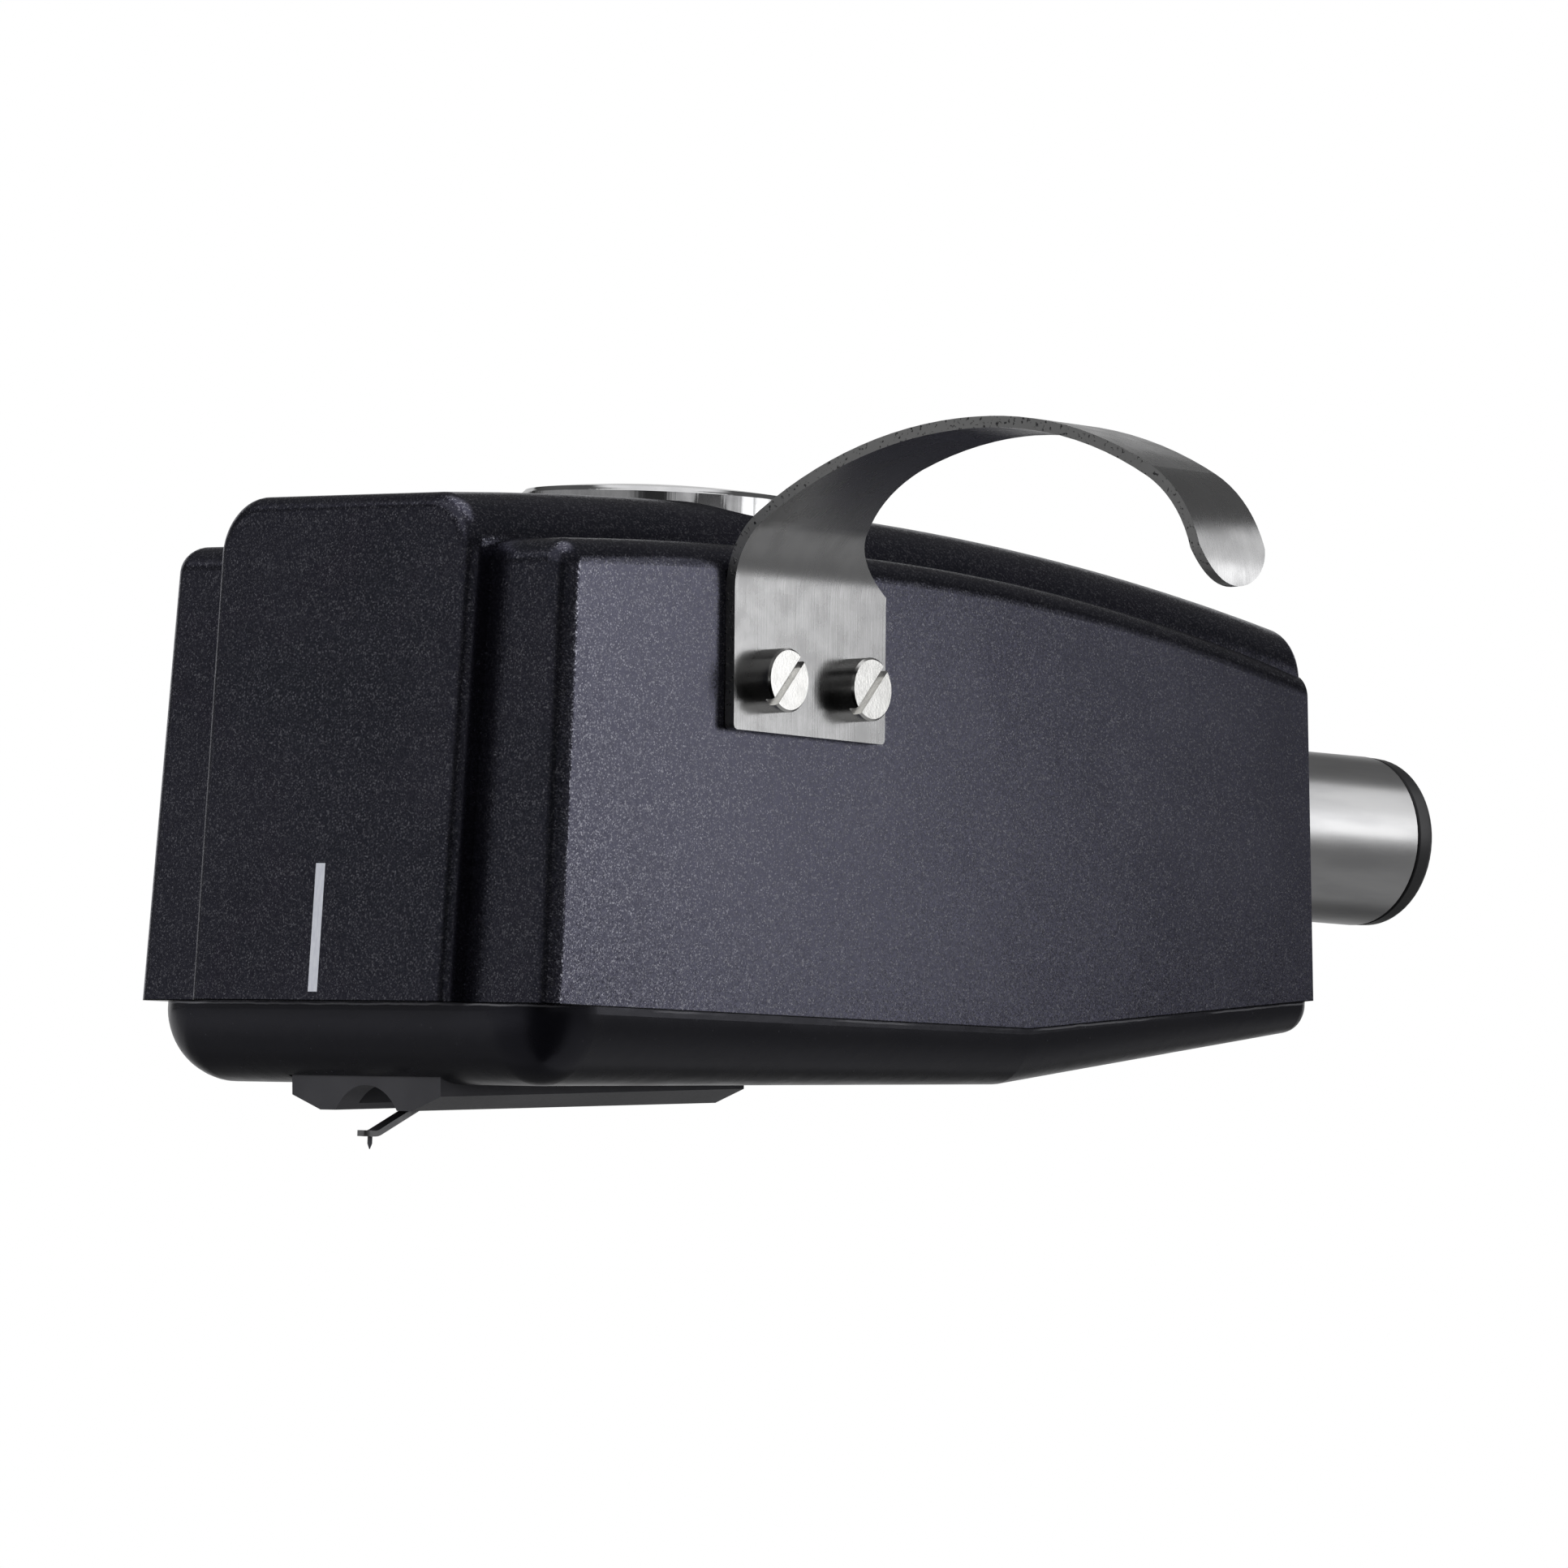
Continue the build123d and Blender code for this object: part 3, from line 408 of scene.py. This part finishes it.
def windCoils():
    # each winding is a lathe surface: radius = outer - wire * (1 - |sin|) along the arm, closed on its bore
    finish, place = startFinish("coilCopper")
    grain = place.noise(12000, 2)
    varying = {"Base Color": grain.ease(0.3, 0.7).tint(winding["copper"], winding["lacquer"]),
               "Roughness": 0.28 + grain * 0.12, "Normal": grain.relief(0.000001)}
    closeFinish(place, {"Metallic": 1.0, "Coat Weight": 0.4, "Coat Roughness": 0.1}, varying)
    span = winding["end"] - winding["start"]
    wire = span / winding["turns"] / 2
    along = np.linspace(0, 1, winding["turns"] * winding["alongTurn"] + 1)
    bulge = np.abs(np.sin(np.pi * winding["turns"] * along))
    radius = np.concatenate([[winding["inner"]], winding["outer"] - wire * (1 - bulge), [winding["inner"]]])
    height = winding["start"] + span * np.concatenate([[0], along, [1]])
    angle = np.linspace(0, 2 * np.pi, winding["around"], endpoint=False)
    lathe = np.stack([radius[:, None] * np.cos(angle), radius[:, None] * np.sin(angle),
                      np.broadcast_to(height[:, None], (len(height), len(angle)))], -1)
    rows, columns = lathe.shape[:2]
    r, c = np.meshgrid(np.arange(rows), np.arange(columns), indexing="ij")
    nextRow, nextColumn = (r + 1) % rows, (c + 1) % columns
    quads = np.stack([r * columns + c, r * columns + nextColumn,
                      nextRow * columns + nextColumn, nextRow * columns + c], -1).reshape(-1, 4)
    slope = Matrix.Rotation(math.radians(-winding["slope"]), 3, "Y")
    pairs = (("coilLeftTurns", "coil_left", (45, 225)), ("coilRightTurns", "coil_right", (135, 315)))
    for name, node, turns in pairs:
        points, faces = [], []
        for turn in turns:
            pose = np.array(slope @ Matrix.Rotation(math.radians(turn), 3, "X"))
            faces.append(quads + len(points) * lathe[..., 0].size)
            points.append(lathe.reshape(-1, 3) @ pose.T + np.array(winding["pivot"]))
        coil = addMesh(name, np.concatenate(points), np.concatenate(faces), finish)
        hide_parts(node)
        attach(coil, "stylus_arm")


def addMesh(name, points, faces, finish):
    mesh = bpy.data.meshes.new(name)
    mesh.from_pydata(points.tolist(), [], faces.tolist())
    mesh.polygons.foreach_set("use_smooth", np.ones(len(faces), bool))
    mesh.materials.append(finish)
    mesh.update()
    piece = bpy.data.objects.new(name, mesh)
    scene.collection.objects.link(piece)
    return piece


ground = {"height": -0.06, "radius": 1.2, "rings": 24, "spokes": 72,
          "pale": (0.80, 0.80, 0.81, 1), "soft": (0.76, 0.76, 0.77, 1), "mottleScale": 14}


def layFloor():
    # a round sheet: rings of growing radius about a middle point, all at one height
    rings, spokes = ground["rings"], ground["spokes"]
    radius = ground["radius"] * (np.arange(1, rings + 1) / rings) ** 1.5
    angle = np.linspace(0, 2 * np.pi, spokes, endpoint=False)
    disc = np.stack([radius[:, None] * np.cos(angle), radius[:, None] * np.sin(angle),
                     np.full((rings, spokes), ground["height"])], -1).reshape(-1, 3)
    points = np.concatenate([[[0, 0, ground["height"]]], disc])
    r, c = np.meshgrid(np.arange(rings - 1), np.arange(spokes), indexing="ij")
    side = (c + 1) % spokes
    bands = np.stack([1 + r * spokes + c, 1 + (r + 1) * spokes + c,
                      1 + (r + 1) * spokes + side, 1 + r * spokes + side], -1).reshape(-1, 4)
    first = np.arange(spokes)
    hub = np.stack([np.zeros(spokes, int), 1 + first, 1 + (first + 1) % spokes], -1)
    finish, place = startFinish("floorPale")
    mottle = place.noise(ground["mottleScale"], 3)
    varying = {"Base Color": mottle.ease(0.3, 0.7).tint(ground["pale"], ground["soft"]),
               "Roughness": 0.7 + mottle * 0.15}
    closeFinish(place, {"Specular IOR Level": 0.2}, varying)
    mesh = bpy.data.meshes.new("floor")
    mesh.from_pydata(points.tolist(), [], bands.tolist() + hub.tolist())
    mesh.materials.append(finish)
    floor = bpy.data.objects.new("floor", mesh)
    scene.collection.objects.link(floor)
    floor.visible_glossy = False


room = {"overhead": 0.03, "ceiling": 0.10, "ceilingRise": (0.25, 0.6), "zenith": 0.9, "zenithRise": (0.84, 0.93),
        "horizon": 0.04, "shore": (-0.60, -0.15), "edge": 7.0, "strongest": 3.0,
        # pale band at the horizon: middle slope, half width, softness, turn and half width in degrees, level
        "band": {"middle": 0.04, "half": 0.07, "soft": 0.03, "turn": 35.0, "width": 45.0, "level": 0.35},
        # floor by direction: turn and half width in degrees, level near the horizon, level underfoot
        "floor": {"behind": (50.0, 55.0, 0.50, 0.08), "right": (-38.0, 48.0, 0.15, 0.25),
                  "left": (150.0, 50.0, 0.32, 0.14)},
        # walls by direction: turn and half width in degrees, lowest and highest slope, softness, level
        "walls": {"left": (150.0, 48.0, -0.06, 0.20, 0.05, 0.12),
                  "highLeft": (162.0, 40.0, 0.38, 0.85, 0.05, 0.4),
                  "back": (46.0, 42.0, -0.20, 0.36, 0.05, 0.55),
                  "right": (-85.0, 40.0, 0.055, 0.08, 0.01, 0.7),
                  "leftLine": (159.0, 48.0, 0.055, 0.08, 0.01, 0.35)}}


def lightRoom():
    # the room by direction: pale walls left, right and behind, a floor that darkens toward the foot, dim
    # overhead and pale at the top; the camera sees plain white, and gloss sees some of it at the horizon
    world = bpy.data.worlds.new("studioRoom")
    world.use_nodes = True
    world.node_tree.nodes.clear()
    scene.world = world
    tree = Wire(world.node_tree)
    x, y, z = tree.node("ShaderNodeTexCoord", {}, {}, "Generated").parts()
    flat = (x * x + y * y) ** 0.5 + 0.0001

    def window(turn, half):
        toward = (x * math.cos(math.radians(turn)) + y * math.sin(math.radians(turn))) / flat
        outside, inside = half + room["edge"], half - room["edge"]
        return toward.ease(math.cos(math.radians(outside)), math.cos(math.radians(inside)))

    horizon = room["horizon"]
    level = room["overhead"] * z.ease(-horizon, 0.0)
    level = level.most(room["ceiling"] * z.ease(*room["ceilingRise"]))
    level = level.most(room["zenith"] * z.ease(*room["zenithRise"]))
    for turn, half, far, foot in room["floor"].values():
        shore = foot + z.ease(*room["shore"]) * (far - foot)
        level = level.most(shore * window(turn, half) * z.ease(0.0, -horizon))
    for turn, half, bottom, top, soft, bright in room["walls"].values():
        wall = window(turn, half) * z.ease(bottom - soft, bottom) * z.ease(top + soft, top)
        level = level.most(wall * bright)
    strip = room["band"]
    band = abs(z - strip["middle"]).ease(strip["half"] + strip["soft"], strip["half"])
    band = band * window(strip["turn"], strip["width"]) * strip["level"]
    grey = (level / room["strongest"]).tint((0, 0, 0, 1), (1, 1, 1, 1))
    studio = tree.node("ShaderNodeBackground", {}, {"Color": grey, "Strength": room["strongest"]})
    white = tree.node("ShaderNodeBackground", {}, {"Color": (1, 1, 1, 1), "Strength": 1.0})
    path = "ShaderNodeLightPath"
    mirrored = tree.node(path, {}, {}, "Is Glossy Ray") + tree.node(path, {}, {}, "Is Transmission Ray")
    seen = (tree.node(path, {}, {}, "Is Camera Ray") + mirrored * band).least(1.0)
    mixed = tree.node("ShaderNodeMixShader", {}, {0: seen, 1: studio, 2: white})
    tree.node("ShaderNodeOutputWorld", {}, {"Surface": mixed})


# softboxes: place, facing, width and height, brightness of the cloth, and whether gloss shows it
lamps = {"key": {"place": (0.0653, -0.0924, 0.020), "facing": (-0.59, 0.81, 0), "size": (0.038, 0.056),
                 "bright": 1.5, "mirrored": True},
         "keySide": {"place": (0.089, -0.066, 0.026), "facing": (-0.86, 0.51, 0), "size": (0.030, 0.045),
                     "bright": 0.33, "mirrored": True},
         "plug": {"place": (0.008, -0.00555, 0.0027), "facing": (0, 0.865, -0.5), "size": (0.013, 0.0058),
                  "bright": 0.82, "mirrored": True},
         "tip": {"place": (-0.0134, -0.0465, 0.0189), "facing": (-0.826, 0.342, -0.436), "size": (0.014, 0.014),
                 "bright": 0.9, "mirrored": True},
         "fill": {"place": (-0.40, -0.16, 0.10), "facing": (0.88, 0.38, -0.28), "size": (0.20, 0.20),
                  "bright": 4.4, "mirrored": False}}


def hangLamps():
    for name, lamp in lamps.items():
        data = bpy.data.lights.new(name + "Softbox", "AREA")
        data.shape = "RECTANGLE"
        data.size, data.size_y = lamp["size"]
        data.energy = lamp["bright"] * math.pi * data.size * data.size_y
        item = bpy.data.objects.new(name + "Softbox", data)
        item.location = lamp["place"]
        item.rotation_mode = "QUATERNION"
        item.rotation_quaternion = Vector(lamp["facing"]).to_track_quat("-Z", "Y")
        item.visible_camera = False
        item.visible_glossy = lamp["mirrored"]
        scene.collection.objects.link(item)


shot = {"turn": -44.0, "tilt": -2.76, "roll": 2.38, "lookAt": (-0.0276, 0, 0.0003), "away": 0.6,
        "lens": 303.86, "sensor": 36.0}


def placeCamera():
    # looks a little up at the near front corner, rolled slightly
    turn, tilt, roll = (math.radians(shot[key]) for key in ("turn", "tilt", "roll"))
    back = Vector((math.sin(turn) * math.cos(tilt), -math.cos(turn) * math.cos(tilt), math.sin(tilt)))
    right = Vector((math.cos(turn), math.sin(turn), 0))
    up = back.cross(right)
    across = right * math.cos(roll) + up * math.sin(roll)
    rise = up * math.cos(roll) - right * math.sin(roll)
    data = bpy.data.cameras.new("photoCamera")
    data.lens, data.sensor_width, data.clip_start = shot["lens"], shot["sensor"], 0.01
    camera = bpy.data.objects.new("photoCamera", data)
    place = Vector(shot["lookAt"]) + back * shot["away"]
    camera.matrix_world = Matrix((across, rise, back)).transposed().to_4x4()
    camera.location = place
    scene.collection.objects.link(camera)
    scene.camera = camera


placeCamera()
print("camera placed")
paintShell()
paintCueLine()
polishCover()
polishDisc()
brushLift()
plateScrews()
turnTube()
blastBlock()
finishMetals()
finishPlastics()
print("finishes done,", len(bpy.data.materials), "in all")
windCoils()
print("coils wound")
layFloor()
lightRoom()
hangLamps()
print("studio lit")
